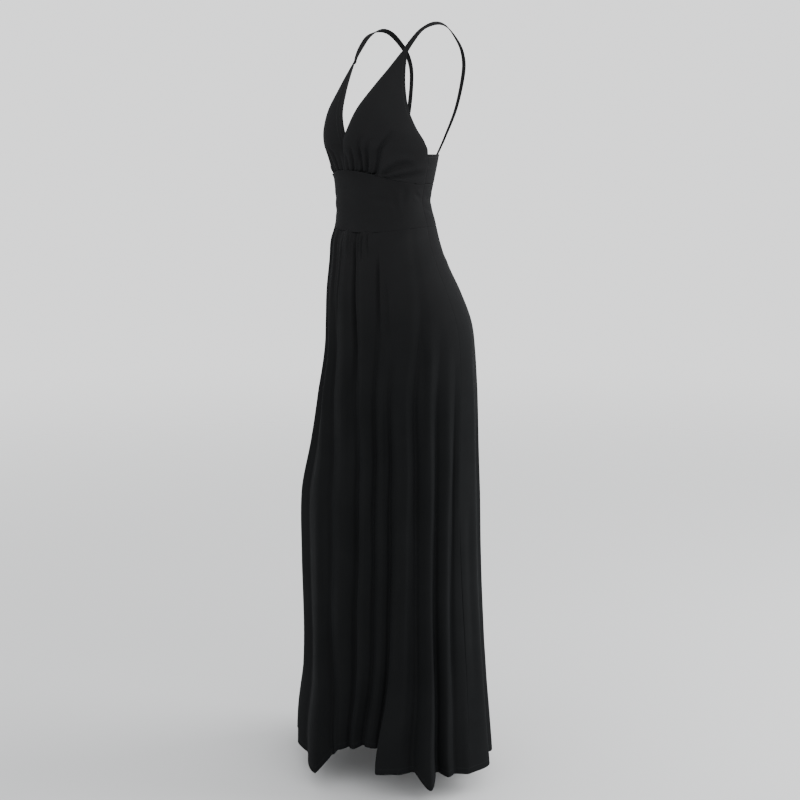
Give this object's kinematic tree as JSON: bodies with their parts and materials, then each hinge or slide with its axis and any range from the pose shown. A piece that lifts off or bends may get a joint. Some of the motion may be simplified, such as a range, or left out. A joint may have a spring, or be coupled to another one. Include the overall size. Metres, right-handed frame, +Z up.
{
  "type": "maxi dress",
  "caption": "Floor-length sleeveless dress with a deep V neck, gathered cups on thin shoulder straps, a fitted midriff band and a flared skirt gathered at the front.",
  "frame": {"origin": "midway between the undersides of the two straps where they cross the shoulders", "axes": "+Z up along the worn dress, +X to the wearer's left, +Y to the wearer's back"},
  "size_m": [0.4701, 0.4014, 1.4447],
  "materials": {
    "bodice_cloth": "soft matte black crepe jersey",
    "midriff_cloth": "soft matte black crepe jersey, stretched smooth",
    "skirt_cloth": "soft matte black crepe jersey, hanging in folds",
    "strap_cloth": "soft matte black crepe jersey, doubled"
  },
  "bodies": {
    "root": {"cup_left": "bodice_cloth", "cup_right": "bodice_cloth", "bodice_back": "bodice_cloth", "midriff_front": "midriff_cloth", "midriff_back": "midriff_cloth", "skirt_front": "skirt_cloth", "skirt_back": "skirt_cloth", "strap_left": "strap_cloth", "strap_right": "strap_cloth"}
  },
  "joints": []
}
